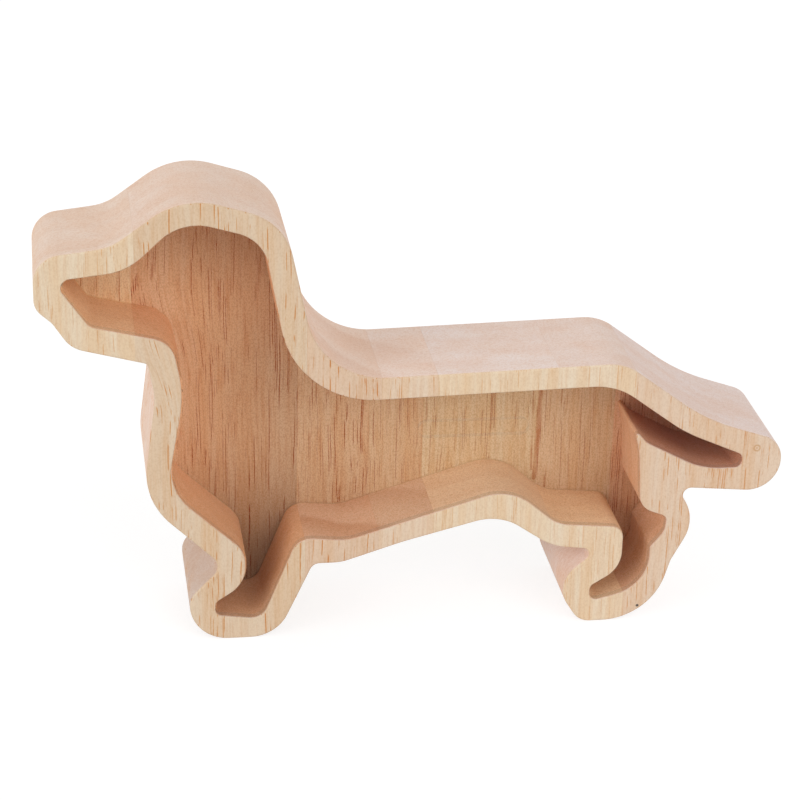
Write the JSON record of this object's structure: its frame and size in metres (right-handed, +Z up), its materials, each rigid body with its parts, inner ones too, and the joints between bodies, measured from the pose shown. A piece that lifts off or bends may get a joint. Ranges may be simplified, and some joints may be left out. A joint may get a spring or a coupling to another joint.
{
  "type": "wooden money box",
  "caption": "Money box in the outline of a standing dachshund: a block of glued upright wooden staves with a milled pocket, closed by a clear push-in pane with a coin slot.",
  "frame": {"origin": "under the middle of the block, on the surface that the paws stand on", "axes": "+Z up; the open front faces -Y; +X runs from the nose to the tail"},
  "size_m": [0.22, 0.038, 0.1378],
  "materials": {
    "pale_wood": "bare, fine-sanded",
    "warm_wood": "bare, fine-sanded",
    "rosy_wood": "bare, fine-sanded",
    "clear_acrylic": "clear, polished"
  },
  "bodies": {
    "wooden_block": {"muzzle_stave": "rosy_wood", "head_stave": "warm_wood", "shoulder_stave": "rosy_wood", "rib_stave": "warm_wood", "loin_stave": "pale_wood", "rump_stave": "pale_wood", "tail_stave": "rosy_wood"},
    "window": {"front_window": "clear_acrylic"}
  },
  "joints": [
    {"name": "window_pull", "type": "slide", "parent": "wooden_block", "child": "window", "axis": [0, -1, 0], "range_m": [0, 0.05]}
  ]
}
